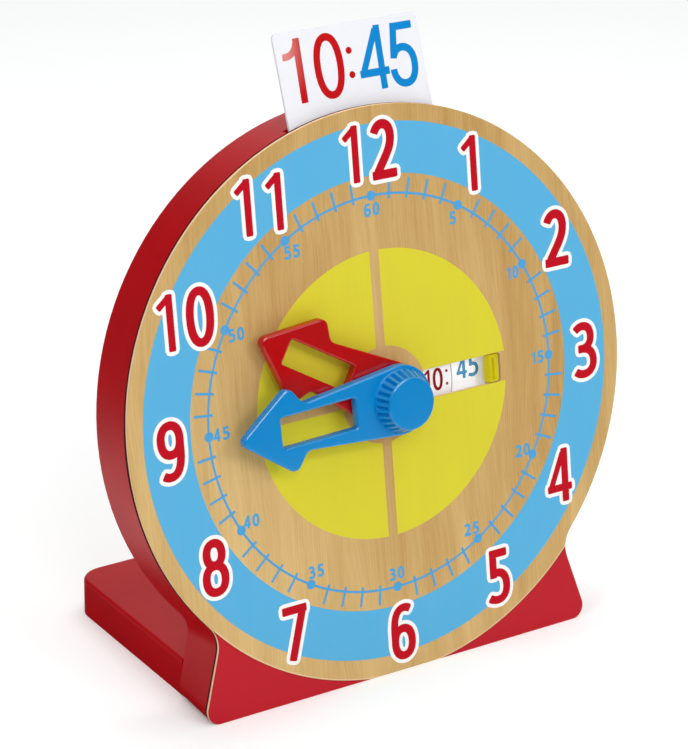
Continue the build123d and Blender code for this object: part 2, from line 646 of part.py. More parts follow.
def build_time_card():
    """Card that stands in the slot and leans back on the slot's rear edge."""
    tilt = radians(CARD_LEAN)
    foot_v = DIAL_R - CARD_SLOT_FLOOR + CARD_T * sin(tilt) + CARD_PLAY
    foot = (CARD_SHIFT, foot_v, -FACE_T - CARD_PLAY)
    front = Plane(origin=foot, x_dir=(1, 0, 0), z_dir=(0, sin(tilt), cos(tilt)))
    sheet = Pos(0, CARD_H / 2) * RectangleRounded(CARD_W, CARD_H, CARD_CORNER_R)
    return place(extrude(front * sheet, -CARD_T))


BUILDERS = {
    "face_plate": build_face_plate, "case_body": build_case, "back_cover": build_back_cover,
    "foot_board": build_foot_board, "front_bush": build_front_bush, "rear_bush": build_rear_bush,
    "hand_washer": build_hand_washer, "shutter_guide": build_shutter_guide,
    "intermediate_stud": build_intermediate_stud, "stud_cap": build_stud_cap,
    "intermediate_gear": build_intermediate_gear, "hour_wheel": build_hour_wheel,
    "wheel_sleeve": build_wheel_sleeve, "clutch_clip": build_clutch_clip,
    "hour_hand": build_hour_hand, "hour_tube": build_hour_tube, "hour_disc": build_hour_disc,
    "clutch_washer": build_clutch_washer, "minute_shaft": build_minute_shaft,
    "minute_pinion": build_minute_pinion, "minute_disc": build_minute_disc, "minute_hub": build_minute_hub,
    "hub_grub_screw": build_grub_screw, "shaft_clip": build_shaft_clip, "shaft_washer": build_shaft_washer,
    "minute_hand": build_minute_hand, "minute_knob": build_knob, "window_shutter": build_shutter,
    "time_card": build_time_card,
}

os.makedirs("parts", exist_ok=True)
for node, builder in BUILDERS.items():
    write(node, builder())
write("cover_screws", *build_cover_screws())
write("foot_dowels", *dowels(DOWEL_R))
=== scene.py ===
"""Visual model of the geared teaching clock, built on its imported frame."""
import json
import logging
from dataclasses import dataclass
from enum import Enum
from functools import cache
from math import asin, cos, pi, radians, sin
from typing import Any, Sequence

import bmesh
import bpy
from bpy.types import Material, Mesh, Node, NodeSocket as Socket, NodeTree, Object
from mathutils import Matrix, Vector
from mathutils.geometry import delaunay_2d_cdt, interpolate_bezier


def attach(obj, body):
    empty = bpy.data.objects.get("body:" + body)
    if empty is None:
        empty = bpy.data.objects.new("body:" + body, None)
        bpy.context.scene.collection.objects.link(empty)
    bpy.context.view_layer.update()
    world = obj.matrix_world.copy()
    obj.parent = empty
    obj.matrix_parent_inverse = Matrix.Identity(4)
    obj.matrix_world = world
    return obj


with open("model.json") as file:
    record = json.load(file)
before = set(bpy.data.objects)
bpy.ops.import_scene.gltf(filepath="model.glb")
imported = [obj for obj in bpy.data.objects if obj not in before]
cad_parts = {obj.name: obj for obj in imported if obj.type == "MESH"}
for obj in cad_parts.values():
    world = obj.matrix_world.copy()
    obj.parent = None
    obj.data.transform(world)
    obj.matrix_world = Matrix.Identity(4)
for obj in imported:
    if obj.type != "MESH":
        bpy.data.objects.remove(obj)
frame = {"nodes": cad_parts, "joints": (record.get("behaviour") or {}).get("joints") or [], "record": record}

log = logging.getLogger("clock")

MM = 0.001
IMAGE_W, IMAGE_H = 688, 749
FILM = 0.03  # thickness of a print in mm
SPREAD = (0.3, 0.7)  # where most of a noise's values lie

Colour = tuple[float, float, float, float]
Point = tuple[float, float]
Triple = tuple[float, float, float]
Placed = tuple[str, float, float, float, float]  # a digit, its lower left corner, its width and height

WHITE: Colour = (1.0, 1.0, 1.0, 1.0)


def srgb(red: int, green: int, blue: int) -> Colour:
    """Turn a colour written in 0 to 255 into the linear values that shaders take.

    Args:
        red: Red, 0 to 255.
        green: Green, 0 to 255.
        blue: Blue, 0 to 255.

    Returns:
        The linear colour with an alpha of 1.
    """
    def linear(value: int) -> float:
        """One channel, from its display value to a linear one."""
        share = value / 255
        return share / 12.92 if share <= 0.04045 else ((share + 0.055) / 1.055) ** 2.4

    return linear(red), linear(green), linear(blue), 1.0


# ---- axes
class DialAxes:
    """The dial's own axes: u to the right, v up the dial and n out of it, in mm from the dial's centre."""

    def __init__(self, joints: Sequence[dict[str, Any]]) -> None:
        """Read the dial's centre and lean from the joint of the minute hand.

        Args:
            joints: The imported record's joints.
        """
        turn = next(joint for joint in joints if joint["name"] == "minute_turn")
        self.centre = Vector(turn["pos_m"])
        self.normal = -Vector(turn["axis"]).normalized()
        self.right = Vector((1, 0, 0))
        self.up = self.normal.cross(self.right)
        self.lean = asin(self.normal.z)

    def plane(self, origin: Sequence[float]) -> Matrix:
        """Matrix that sets a shape drawn in mm on the dial's plane, through a point, into the row frame."""
        turned = Matrix((self.right, self.up, self.normal)).transposed().to_4x4()
        return Matrix.Translation(self.centre) @ turned @ Matrix.Scale(MM, 4) @ Matrix.Translation(origin)


AXES = DialAxes(frame["joints"])


# ---- node graphs
class Graph:
    """A node tree that is being wired up."""

    def __init__(self, tree: NodeTree) -> None:
        """Keep the tree.

        Args:
            tree: The node tree of a material, a world or a group.
        """
        self.tree = tree

    def add(self, kind: str, sockets: dict[Any, Any] | None = None, **settings: Any) -> Node:
        """Add a node.

        Args:
            kind: The node's type name, without its leading ShaderNode.
            sockets: Input sockets by name or number, each a constant or the output socket to link.
            settings: Properties of the node.

        Returns:
            The new node.
        """
        node = self.tree.nodes.new("ShaderNode" + kind)
        for name, value in settings.items():
            setattr(node, name, value)
        for key, value in (sockets or {}).items():
            self.plug(node.inputs[key], value)
        return node

    def plug(self, socket: Socket, value: Any) -> None:
        """Feed an input socket.

        Args:
            socket: The input.
            value: The output socket to link, or the input's own value.
        """
        if isinstance(value, Socket):
            self.tree.links.new(value, socket)
        else:
            socket.default_value = value

    def math(self, operation: str, first: Any, second: Any = 0.0, clamp: bool = False) -> Socket:
        """Add a Math node and give its output."""
        return self.add("Math", {0: first, 1: second}, operation=operation, use_clamp=clamp).outputs[0]

    def times(self, first: Any, second: Any) -> Socket:
        """Product of two values."""
        return self.math("MULTIPLY", first, second)

    def plus(self, first: Any, second: Any, clamp: bool = False) -> Socket:
        """Sum of two values."""
        return self.math("ADD", first, second, clamp)

    def minus(self, first: Any, second: Any) -> Socket:
        """First value less the second."""
        return self.math("SUBTRACT", first, second)

    def most(self, first: Any, second: Any) -> Socket:
        """Larger of two values."""
        return self.math("MAXIMUM", first, second)

    def step(self, value: Any, start: float, end: float, low: float = 0.0, high: float = 1.0) -> Socket:
        """Add a clamped Map Range node and give its output."""
        sockets = {"Value": value, "From Min": start, "From Max": end, "To Min": low, "To Max": high}
        return self.add("MapRange", sockets, clamp=True).outputs[0]

    def blend(self, share: Any, first: Any, second: Any) -> Socket:
        """Mix two colours and give the result."""
        return self.add("Mix", {0: share, 6: first, 7: second}, data_type="RGBA").outputs[2]

    def noise(self, vector: Any, scale: float, detail: float = 2.0, roughness: float = 0.5) -> Socket:
        """Add a Noise Texture and give its factor."""
        sockets = {"Vector": vector, "Scale": scale, "Detail": detail, "Roughness": roughness}
        return self.add("TexNoise", sockets).outputs["Fac"]

    def stretch(self, vector: Any, factors: Triple) -> Socket:
        """Multiply a vector's three parts."""
        return self.add("VectorMath", {0: vector, 1: factors}, operation="MULTIPLY").outputs[0]

    def scaled(self, vector: Any, factor: Any) -> Socket:
        """Multiply a vector by one number."""
        return self.add("VectorMath", {0: vector, "Scale": factor}, operation="SCALE").outputs[0]


def start_group(name: str, inputs: Sequence[str], outputs: Sequence[str]) -> tuple[Graph, Node, Node]:
    """Begin a node group that many materials share.

    Args:
        name: The group's name.
        inputs: The names of its inputs, of which Vector is a vector and the rest are numbers.
        outputs: The names of its outputs, all numbers.

    Returns:
        The group's graph, its input node and its output node.
    """
    tree = bpy.data.node_groups.new(name, "ShaderNodeTree")
    for way, labels in (("INPUT", inputs), ("OUTPUT", outputs)):
        for label in labels:
            kind = "NodeSocketVector" if label == "Vector" else "NodeSocketFloat"
            tree.interface.new_socket(label, in_out=way, socket_type=kind)
    return Graph(tree), tree.nodes.new("NodeGroupInput"), tree.nodes.new("NodeGroupOutput")


@cache
def wood_grain() -> NodeTree:
    """Wood grain that runs along Y, as a shade from 0 to 1 and a height.

    Returns:
        The group, which takes a vector in mm.
    """
    graph, source, sink = start_group("wood_grain", ("Vector", "Pitch"), ("Shade", "Height"))
    scaled = graph.scaled(source.outputs["Vector"], source.outputs["Pitch"])
    sway = graph.noise(graph.stretch(scaled, (0.02, 0.012, 0.02)), 1)
    push = graph.add("CombineXYZ", {0: graph.times(sway, 14)}).outputs[0]
    wavy = graph.add("VectorMath", {0: scaled, 1: push}, operation="ADD").outputs[0]
    bands = graph.noise(graph.stretch(wavy, (0.12, 0.006, 0.12)), 1, 3, 0.55)
    fibres = graph.noise(graph.stretch(wavy, (1.5, 0.035, 1.5)), 1, 3, 0.6)
    pores = graph.noise(graph.stretch(wavy, (2.6, 0.16, 2.6)), 1, 1)
    flecks = graph.step(pores, 0.62, 0.74)
    wide = graph.times(graph.step(bands, *SPREAD), 0.5)
    fine = graph.times(graph.step(fibres, 0.32, 0.68), 0.38)
    shade = graph.plus(graph.plus(wide, fine), graph.times(flecks, 0.22), clamp=True)
    graph.plug(sink.inputs["Shade"], shade)
    graph.plug(sink.inputs["Height"], graph.minus(fibres, graph.times(flecks, 0.4)))
    return graph.tree


@cache
def surface_skin() -> NodeTree:
    """Skin of a painted or moulded surface, as a fine height and a slow mottle.

    Returns:
        The group, which takes a vector in mm.
    """
    graph, source, sink = start_group("surface_skin", ("Vector", "Texture", "Mottle"), ("Height", "Mottle"))
    scaled = graph.scaled(source.outputs["Vector"], source.outputs["Texture"])
    dust = graph.noise(scaled, 6, 2, 0.6)
    slow = graph.scaled(source.outputs["Vector"], source.outputs["Mottle"])
    graph.plug(sink.inputs["Height"], graph.plus(graph.noise(scaled, 1.2), graph.times(dust, 0.25)))
    graph.plug(sink.inputs["Mottle"], graph.noise(slow, 1, 3, 0.6))
    return graph.tree


class Coat(Graph):
    """A material under construction, with its Principled shader and its coordinates."""

    def __init__(self, name: str) -> None:
        """Start a material.

        Args:
            name: The material's name.
        """
        self.material = bpy.data.materials.new(name)
        self.material.use_nodes = True
        super().__init__(self.material.node_tree)
        self.shader = self.tree.nodes["Principled BSDF"]

    def mapped(self, origin: Sequence[float], turn: float) -> Socket:
        """Object coordinates in mm, measured in a frame turned about X.

        Args:
            origin: The frame's origin in metres.
            turn: Its turn about X in radians.

        Returns:
            The vector in that frame.
        """
        sockets = {"Vector": self.add("TexCoord").outputs["Object"], "Location": tuple(origin),
                   "Rotation": (turn, 0, 0), "Scale": (MM, MM, MM)}
        return self.add("Mapping", sockets, vector_type="TEXTURE").outputs[0]

    def object_mm(self) -> Socket:
        """Object coordinates in mm."""
        return self.mapped((0, 0, 0), 0)

    def dial_mm(self) -> Socket:
        """Coordinates u, v and n of the dial, in mm."""
        return self.mapped(AXES.centre, pi / 2 - AXES.lean)

    def grain(self, vector: Socket, pitch: float = 1.0) -> tuple[Socket, Socket]:
        """Place the wood grain and give its shade and its height."""
        node = self.add("Group", {"Vector": vector, "Pitch": pitch}, node_tree=wood_grain())
        return node.outputs["Shade"], node.outputs["Height"]

    def skin(self, vector: Socket, texture: float, mottle: float) -> tuple[Socket, Socket]:
        """Place the surface skin and give its mottle and its height."""
        node = self.add("Group", {0: vector, 1: texture, 2: mottle}, node_tree=surface_skin())
        return node.outputs["Mottle"], node.outputs["Height"]

    def feed(self, **values: Any) -> None:
        """Feed the shader's sockets, whose names are written with _ for a space."""
        for key, value in values.items():
            self.plug(self.shader.inputs[key.replace("_", " ")], value)

    def bump(self, height: Socket, strength: float, distance_mm: float) -> None:
        """Feed a height to the shader's normal."""
        node = self.add("Bump", {"Strength": strength, "Distance": distance_mm * MM, "Height": height})
        self.feed(Normal=node.outputs[0])


# ---- finishes
@dataclass(frozen=True)
class Look:
    """What every finish has: its name, its main colour and its material."""

    name: str
    colour: Colour

    def dress(self, coat: Coat) -> None:
        """Wire the shader, which each kind of finish does in its own way."""
        raise NotImplementedError(self.name)

    def material(self) -> Material:
        """Build the finish's material.

        Returns:
            The material.
        """
        coat = Coat(self.name)
        self.dress(coat)
        return coat.material


@dataclass(frozen=True)
class Moulding(Look):
    """Moulded plastic with a satin gloss."""

    deep: Colour
    roughness: float = 0.22
    translucent: float = 0.0
    specular: float = 0.5
    skin: Point = (1.6, 0.06)
    relief: Point = (0.12, 0.05)
    scatter: Triple = (0.8, 0.8, 0.5)

    def dress(self, coat: Coat) -> None:
        """Wire the shader.

        Args:
            coat: The material under construction.
        """
        mottle, height = coat.skin(coat.object_mm(), *self.skin)
        share = coat.step(mottle, 0.25, 0.75, 0.0, 0.5)
        rough = coat.step(mottle, *SPREAD, self.roughness - 0.03, self.roughness + 0.05)
        coat.feed(Base_Color=coat.blend(share, self.colour, self.deep), Roughness=rough,
                  Specular_IOR_Level=self.specular, Subsurface_Weight=self.translucent,
                  Subsurface_Radius=self.scatter, Subsurface_Scale=MM)
        coat.bump(height, *self.relief)


@dataclass(frozen=True)
class GlossPaint(Look):
    """Brushed gloss paint over wood, with the wood's grain faint under it."""

    deep: Colour
    roughness: Point = (0.26, 0.36)
    specular: float = 0.12
    skin: Point = (0.7, 0.02)
    pitch: float = 0.9
    streak: float = 0.22
    relief: Point = (0.22, 0.08)

    def dress(self, coat: Coat) -> None:
        """Wire the shader.

        Args:
            coat: The material under construction.
        """
        vector = coat.object_mm()
        mottle, peel = coat.skin(vector, *self.skin)
        shade, ribs = coat.grain(vector, self.pitch)
        base = coat.blend(coat.step(mottle, *SPREAD), self.colour, self.deep)
        streaks = coat.step(shade, 0.2, 0.9, 0.0, self.streak)
        coat.feed(Base_Color=coat.blend(streaks, base, self.deep),
                  Roughness=coat.step(mottle, *SPREAD, *self.roughness), Specular_IOR_Level=self.specular)
        coat.bump(coat.plus(peel, coat.times(ribs, 0.8)), *self.relief)


@dataclass(frozen=True)
class DialBoard(Look):
    """Varnished plywood dial, whose skirt under the round dial is painted."""

    dark: Colour
    raw_edge: Colour
    paint: Colour
    # colour of the dark band on the plywood's edge: the case's red paint, painted darker as shade of the
    # joint
    seam: Colour
    border_r: float = 117.6  # radius of the painted border, about its own middle
    border_middle: Point = (1.8, -1.63)
    waist_v: float = -79.0  # the skirt lies under this line
    edge_n: float = -0.22  # the print wraps the front edge to here
    arris_n: float = -1.2  # the dark band of case paint and painted shade reaches over the plywood's edge to here
    bleed: float = 0.6  # painted shade: the band reaches this much further on the lower sides
    ply_t: float = 2.5
    drift_scale: Triple = (0.02, 0.008, 0.02)
    drift_shade: Point = (-0.08, 0.24)
    across: Point = (-110, 90)  # the wood darkens from lower left to upper right
    across_shade: Point = (-0.12, 0.2)
    varnish_rough: float = 0.48
    paint_rough: float = 0.34
    specular: float = 0.15
    relief: Point = (0.16, 0.06)

    def painted_edge(self, coat: Coat, parts: Sequence[Socket], radius: Socket) -> Socket:
        """Mask of the dark band on the plywood's edge: the case's paint, painted darker as shade between
        face plate and case, and wider on the lower sides as painted shade.

        Args:
            coat: The material under construction.
            parts: The dial's coordinates u, v and n in mm.
            radius: The distance from the border's middle in mm.

        Returns:
            The mask, 1 where the paint and its painted shade lie.
        """
        lower = coat.times(coat.step(parts[1], 25.0, -5.0, 0.0, self.bleed),
                           coat.step(parts[1], self.waist_v - 4.0, self.waist_v + 6.0))
        seam = coat.step(coat.minus(parts[2], lower), self.arris_n, self.arris_n - 0.2)
        return coat.times(seam, coat.step(radius, self.border_r - 18.0, self.border_r - 17.0))

    def dress(self, coat: Coat) -> None:
        """Wire the shader.

        Args:
            coat: The material under construction.
        """
        vector = coat.dial_mm()
        parts = coat.add("SeparateXYZ", {0: vector}).outputs
        level = coat.stretch(vector, (1.0, 1.0, 0.0))
        radius = coat.add("VectorMath", {0: level, 1: (*self.border_middle, 0.0)},
                          operation="DISTANCE").outputs["Value"]
        shade, ribs = coat.grain(vector)
        layers = coat.math("ABSOLUTE", coat.math("SINE", coat.times(parts[2], 3 * pi / self.ply_t)))
        raw = coat.blend(coat.step(layers, 0, 0.9, 0.2, 0), self.raw_edge, self.dark)
        seam = self.painted_edge(coat, parts, radius)
        skirt = coat.step(parts[1], self.waist_v + 0.5, self.waist_v - 0.5)
        outside = coat.times(skirt, coat.step(radius, self.border_r - 0.1, self.border_r + 0.1))
        cream = coat.times(coat.step(radius, self.border_r - 0.7, self.border_r - 0.5), skirt)
        drift = coat.noise(coat.stretch(vector, self.drift_scale), 1.0)
        cloud = coat.plus(coat.step(drift, 0.35, 0.65, *self.drift_shade),
                          coat.step(coat.plus(parts[0], parts[1]), *self.across, *self.across_shade))
        wood = coat.blend(coat.plus(coat.times(shade, 0.85), cloud, clamp=True), self.colour, self.dark)
        dial = coat.blend(coat.times(cream, 0.6), wood, self.raw_edge)
        # just outside the painted border the paint turns halfway to the dark band's colour
        border_darkening = coat.step(radius, self.border_r + 0.5, self.border_r + 0.2, 0.0, 0.5)
        painted = coat.blend(outside, dial, coat.blend(border_darkening, self.paint, self.seam))
        front = coat.step(parts[2], self.edge_n - 0.04, self.edge_n + 0.04)
        # the plywood's edge takes the dark band, which is paint and painted shade
        colour = coat.blend(front, coat.blend(seam, raw, self.seam), painted)
        gloss = coat.step(coat.times(front, outside), 0, 1, self.varnish_rough, self.paint_rough)
        rough = coat.plus(gloss, coat.times(seam, coat.step(front, 0, 1, 0.5, 0)))
        coat.feed(Base_Color=colour, Roughness=rough, Specular_IOR_Level=self.specular)
        coat.bump(coat.times(ribs, coat.step(outside, 0, 1, 1, 0.4)), *self.relief)


@dataclass(frozen=True)
class BareWood(Look):
    """Unpainted wood or hardboard."""

    dark: Colour
    pitch: float = 1.0
    roughness: float = 0.62
    specular: float = 0.3
    relief: Point = (0.3, 0.1)

    def dress(self, coat: Coat) -> None:
        """Wire the shader.

        Args:
            coat: The material under construction.
        """
        shade, ribs = coat.grain(coat.dial_mm(), self.pitch)
        coat.feed(Base_Color=coat.blend(shade, self.colour, self.dark), Roughness=self.roughness,
                  Specular_IOR_Level=self.specular)
        coat.bump(ribs, *self.relief)


@dataclass(frozen=True)
class Ink(Look):
    """Screen print, a thin opaque film that lets a little of the ground's texture through."""

    worn: Colour
    wear: float = 0.12
    roughness: float = 0.46
    fade: float = 0.0  # painted glare: how much the print pales towards the card's upper left corner, washed out by light
    faded: Colour = srgb(242, 176, 166)
    fade_u: Point = (-20, -28)
    fade_v: Point = (126, 142)
    skin: Point = (2.2, 0.03)
    specular: float = 0.08
    relief: Point = (0.12, 0.05)

    def dress(self, coat: Coat) -> None:
        """Wire the shader.

        Args:
            coat: The material under construction.
        """
        vector = coat.dial_mm()
        shade, ribs = coat.grain(vector)
        mottle, peel = coat.skin(vector, *self.skin)
        thin = coat.times(coat.times(shade, mottle), 2 * self.wear)
        rough = coat.step(mottle, *SPREAD, self.roughness - 0.05, self.roughness + 0.05)
        colour = coat.blend(thin, self.colour, self.worn)
        # painted glare: the print pales towards the card's upper left corner
        if self.fade:
            parts = coat.add("SeparateXYZ", {0: vector}).outputs
            corner = coat.times(coat.step(parts[0], *self.fade_u), coat.step(parts[1], *self.fade_v))
            colour = coat.blend(coat.times(corner, self.fade), colour, self.faded)
        coat.feed(Base_Color=colour, Roughness=rough, Specular_IOR_Level=self.specular)
        coat.bump(coat.plus(coat.times(ribs, 0.6), coat.times(peel, 0.3)), *self.relief)


@dataclass(frozen=True)
class PrintedSheet(Look):
    """White sheet or laminated card."""

    shade: Colour
    roughness: float = 0.4
    # painted light: emission strength that makes the sheet glow and lifts the shade on it
    brightener: float = 0.0
    specular: float = 0.3
    skin: Point = (2.5, 0.04)
    relief: Point = (0.06, 0.03)

    def dress(self, coat: Coat) -> None:
        """Wire the shader.

        Args:
            coat: The material under construction.
        """
        mottle, height = coat.skin(coat.object_mm(), *self.skin)
        share = coat.step(mottle, *SPREAD, 0.0, 0.5)
        # the emission is painted light, a glow that lifts the sheet out of its shade
        coat.feed(Base_Color=coat.blend(share, self.colour, self.shade), Roughness=self.roughness,
                  Specular_IOR_Level=self.specular, Emission_Color=self.colour,
                  Emission_Strength=self.brightener)
        coat.bump(height, *self.relief)


@dataclass(frozen=True)
class TurnedMetal(Look):
    """Metal turned on a lathe, with fine rings about the dial's axis."""

    roughness: float = 0.3
    ring_pitch: float = 9.0
    relief: Point = (0.15, 0.03)

    def dress(self, coat: Coat) -> None:
        """Wire the shader.

        Args:
            coat: The material under construction.
        """
        vector = coat.dial_mm()
        flat = coat.stretch(vector, (1.0, 1.0, 0.0))
        radius = coat.add("VectorMath", {0: flat}, operation="LENGTH").outputs["Value"]
        rings = coat.noise(coat.add("CombineXYZ", {0: coat.times(radius, self.ring_pitch)}).outputs[0], 1.0)
        rough = coat.step(rings, *SPREAD, self.roughness - 0.06, self.roughness + 0.1)
        stain = coat.step(coat.noise(vector, 0.3, 3.0), 0.4, 0.8, 0.0, 0.4)
        dull = tuple(0.6 * part for part in self.colour[:3]) + (1.0,)
        coat.feed(Base_Color=coat.blend(stain, self.colour, dull), Roughness=rough, Metallic=1.0)
        coat.bump(rings, *self.relief)


class Finish(Enum):
    """Every finish of the clock. The first twelve have the names of the record's material slots."""

    # its last colour is the dark band on the plywood's edge, case paint with painted shade
    DIAL_BOARD = DialBoard("varnished_plywood", srgb(221, 187, 126), srgb(184, 142, 80), srgb(240, 208, 170),
                           srgb(188, 24, 38), srgb(70, 6, 10))
    RED_PAINT = GlossPaint("red_gloss_paint", srgb(186, 8, 20), srgb(168, 2, 12))
    BACK_BOARD = BareWood("hardboard", srgb(168, 128, 84), srgb(136, 98, 60), 2.2, 0.7)
    BARE_WOOD = BareWood("bare_beech", srgb(216, 184, 138), srgb(186, 148, 102))
    RED_PLASTIC = Moulding("red_moulding", srgb(182, 4, 8), srgb(168, 0, 4), 0.16)
    BLUE_PLASTIC = Moulding("blue_moulding", srgb(2, 134, 202), srgb(0, 126, 194), 0.15)
    YELLOW_PLASTIC = Moulding("yellow_moulding", srgb(208, 194, 8), srgb(192, 176, 4), 0.18, 0.1)
    GEAR_PLASTIC = Moulding("natural_acetal", srgb(236, 234, 224), srgb(222, 220, 208), 0.42, 0.2, 0.4)
    WHITE_BOARD = PrintedSheet("white_sheet", srgb(250, 250, 250), srgb(244, 244, 246))
    CARD_STOCK = PrintedSheet("laminated_card", srgb(236, 236, 242), srgb(230, 230, 237), 0.3)
    STEEL = TurnedMetal("bright_steel", srgb(198, 199, 202))
    BRASS = TurnedMetal("turned_brass", srgb(214, 178, 98))
    # minute disc sheet: it glows faintly, painted light that lifts the shade deep in the time window
    BRIGHT_SHEET = PrintedSheet("glowing_white_sheet", srgb(250, 250, 252), srgb(244, 244, 248), 0.4, 0.22)
    RING_INK = Ink("ring_ink", srgb(88, 176, 222), srgb(122, 182, 206), 0.15)
    TRACK_INK = Ink("track_ink", srgb(72, 162, 220), srgb(116, 164, 178), 0.25)
    YELLOW_INK = Ink("yellow_ink", srgb(220, 210, 52), srgb(206, 190, 66), 0.3)
    RED_INK = Ink("numeral_red_ink", srgb(192, 8, 30), srgb(180, 6, 26))
    WHITE_INK = Ink("numeral_white_ink", srgb(250, 249, 247), srgb(238, 236, 230))
    HOUR_INK = Ink("hour_label_ink", srgb(142, 4, 26), srgb(130, 2, 22))
    MINUTE_INK = Ink("minute_label_ink", srgb(84, 160, 208), srgb(104, 170, 210))
    # painted shadow: the grey of the ring at the hour disc's rim
    RULE_INK = Ink("painted_disc_shadow", srgb(176, 174, 180), srgb(186, 184, 188))
    # the red card ink carries painted glare at the card's upper left corner
    CARD_RED = Ink("card_red_ink", srgb(192, 2, 10), srgb(180, 0, 8), 0.1, 0.34, 0.6)
    CARD_BLUE = Ink("card_blue_ink", srgb(0, 132, 204), srgb(0, 124, 196), 0.1, 0.34)

    def material(self) -> Material:
        """The finish's material, built on first use."""
        return bpy.data.materials.get(self.value.name) or self.value.material()


# the minute disc takes the glowing sheet, whose glow is painted light
OWN_FINISH: dict[str, Finish] = {"minute_disc": Finish.BRIGHT_SHEET}


# ---- drawn digits
@dataclass(frozen=True)
class Stroke:
    """One pen stroke, on a box from 0 to 1 that its centre line fills.

    A stroke of two points is straight, and a longer one is a chain of Bezier curves.
    """

    points: tuple[Point, ...]
    square: bool = False
    weight: float = 1.0


def ring_stroke(x: float, y: float, half_w: float, half_h: float) -> Stroke:
    """Closed oval stroke, with a little more shoulder than an ellipse.

    Args:
        x: Its middle, across.
        y: Its middle, upwards.
        half_w: Half its width.
        half_h: Half its height.

    Returns:
        The stroke.
    """
    a, b = 0.62 * half_w, 0.62 * half_h
    return Stroke(((x - half_w, y), (x - half_w, y + b), (x - a, y + half_h), (x, y + half_h),
                   (x + a, y + half_h), (x + half_w, y + b), (x + half_w, y),
                   (x + half_w, y - b), (x + a, y - half_h), (x, y - half_h),
                   (x - a, y - half_h), (x - half_w, y - b), (x - half_w, y)))


SIX = (
    Stroke(((0.96, 0.95), (0.86, 0.985), (0.74, 1), (0.62, 1), (0.2, 1), (0, 0.84), (0, 0.52),
            (0, 0.44), (0, 0.36), (0, 0.28)), False, 0.97),
    ring_stroke(0.5, 0.285, 0.5, 0.285),
)

DIGITS: dict[str, tuple[Stroke, ...]] = {
    "0": (ring_stroke(0.5, 0.5, 0.5, 0.5),),
    "1": (Stroke(((1.06, 0), (1.06, 1)), True, 0.87),
          Stroke(((1, 1.01), (-0.37, 0.81)), False, 0.74)),
    "2": (Stroke(((-0.02, 0.83), (0.08, 0.93), (0.24, 1), (0.46, 1), (0.76, 1), (0.94, 0.9),
                  (0.94, 0.73), (0.94, 0.5), (0.55, 0.34), (0.08, 0.04)), False, 1.08),
          Stroke(((0, 0), (1, 0)), True, 1.04)),
    "3": (Stroke(((-0.03, 0.92), (0.12, 0.98), (0.25, 1), (0.42, 1), (0.72, 1), (0.88, 0.9),
                  (0.88, 0.77), (0.88, 0.62), (0.66, 0.53), (0.36, 0.53))),
          Stroke(((0.12, 0.53), (0.4, 0.53))),
          Stroke(((0.36, 0.53), (0.74, 0.53), (1, 0.43), (1, 0.26), (1, 0.1), (0.76, 0),
                  (0.42, 0), (0.24, 0), (0.08, 0.02), (-0.08, 0.08)))),
    "4": (Stroke(((0.8, 0), (0.8, 1)), True, 0.96), Stroke(((0, 0.235), (1, 0.235)), True, 0.9),
          Stroke(((0.72, 1), (0.02, 0.26)), False, 0.78)),
    "5": (Stroke(((0.2, 1), (0.86, 1)), True), Stroke(((0.2, 1), (0.2, 0.56)), True),
          Stroke(((0.14, 0.55), (0.24, 0.575), (0.32, 0.585), (0.42, 0.585), (0.8, 0.585), (1, 0.47),
                  (1, 0.29), (1, 0.1), (0.76, 0), (0.42, 0), (0.24, 0), (0.06, 0.02),
                  (-0.1, 0.07)))),
    "6": SIX,
    "7": (Stroke(((0, 1), (1, 1)), True), Stroke(((0.97, 0.98), (0.2, -0.07)))),
    "8": (ring_stroke(0.5, 0.775, 0.4, 0.225), ring_stroke(0.5, 0.27, 0.5, 0.27)),
    "9": tuple(Stroke(tuple((1 - x, 1 - y) for x, y in stroke.points)) for stroke in SIX),
    "4 pointed": (Stroke(((0.83, 0), (0.83, 1)), True, 0.96), Stroke(((0, 0.245), (1, 0.245)), True),
                  Stroke(((0.76, 1), (0.02, 0.27)), False, 0.92)),
    "1 with tail": (Stroke(((1, 0), (1, 1)), True),
                    Stroke(((-0.62, 0.77), (0.1, 0.75), (0.72, 0.82), (0.92, 0.98)), False, 0.9)),
    "5 with slope": (Stroke(((0.26, 1), (0.94, 1)), True), Stroke(((0.24, 1), (0.09, 0.52)), True),
                     Stroke(((0.09, 0.5), (0.2, 0.6), (0.34, 0.63), (0.5, 0.63), (0.8, 0.63), (1, 0.52),
                             (1, 0.33), (1, 0.12), (0.8, 0), (0.5, 0), (0.2, 0), (0, 0.12),
                             (0, 0.27)))),
}


